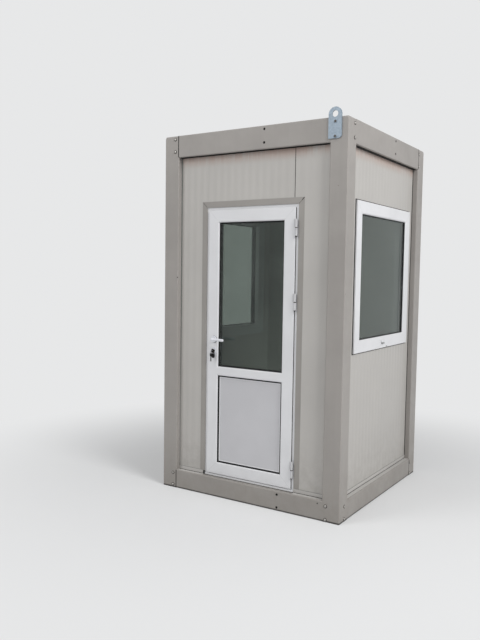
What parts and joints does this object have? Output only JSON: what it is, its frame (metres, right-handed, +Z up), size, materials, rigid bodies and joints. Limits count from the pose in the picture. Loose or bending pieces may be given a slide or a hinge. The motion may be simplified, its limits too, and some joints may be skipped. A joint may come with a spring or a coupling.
{
  "type": "security guard booth",
  "caption": "Square one-person guard cabin: bolted steel frame, sandwich panel walls, half-glazed hinged door with a lever handle, and a fixed window in each side wall.",
  "frame": {"origin": "centre of the square footprint, on the ground", "axes": "+Z up, -Y out of the door, +X to the right as one faces the door"},
  "size_m": [1.5, 1.53, 2.742],
  "materials": {
    "frame_paint": "satin",
    "flashing_paint": "satin",
    "panel_skin": "satin",
    "roof_skin": "satin",
    "floor_covering": "matt",
    "white_pvc": "semi-gloss",
    "lower_panel_white": "satin",
    "glazing": "clear",
    "galvanised_steel": "dull",
    "handle_white": "satin",
    "lock_metal": "satin"
  },
  "bodies": {
    "cabin": {"post_front_left": "frame_paint", "post_front_right": "frame_paint", "post_back_left": "frame_paint", "post_back_right": "frame_paint", "roof_beam_front": "frame_paint", "roof_beam_back": "frame_paint", "roof_beam_left": "frame_paint", "roof_beam_right": "frame_paint", "floor_beam_front": "frame_paint", "floor_beam_back": "frame_paint", "floor_beam_left": "frame_paint", "floor_beam_right": "frame_paint", "base_channel_front": "flashing_paint", "base_channel_back": "flashing_paint", "base_channel_left": "flashing_paint", "base_channel_right": "flashing_paint", "door_flashing": "flashing_paint", "front_wall_left": "panel_skin", "front_wall_over_door": "panel_skin", "front_wall_right": "panel_skin", "back_wall_wide": "panel_skin", "back_wall_narrow": "panel_skin", "left_wall": "panel_skin", "right_wall": "panel_skin", "roof_panel": "roof_skin", "floor_panel": "floor_covering", "left_window_frame": "white_pvc", "right_window_frame": "white_pvc", "door_frame": "white_pvc", "door_hinges_frame_side": "white_pvc", "left_window_glass": "glazing", "right_window_glass": "glazing", "lifting_lug_front": "galvanised_steel", "lifting_lug_back": "galvanised_steel"},
    "door_leaf": {"door_leaf_frame": "white_pvc", "door_mid_rail": "white_pvc", "door_hinges_leaf_side": "white_pvc", "door_glass": "glazing", "door_lower_panel": "lower_panel_white", "handle_rosettes": "handle_white", "lock_cylinder": "lock_metal"},
    "lever": {"lever_outside": "handle_white", "lever_inside": "handle_white"}
  },
  "joints": [
    {"name": "door_swing", "type": "hinge", "parent": "cabin", "child": "door_leaf", "pos_m": [0.37, -0.722, 1.14], "axis": [0, 0, 1], "range_deg": [0, 170]},
    {"name": "lever_turn", "type": "hinge", "parent": "door_leaf", "child": "lever", "pos_m": [-0.304, -0.716, 1.173], "axis": [0, 1, 0], "range_deg": [0, 35], "stiffness_Nm_per_rad": 2, "springref_deg": -17.19}
  ]
}
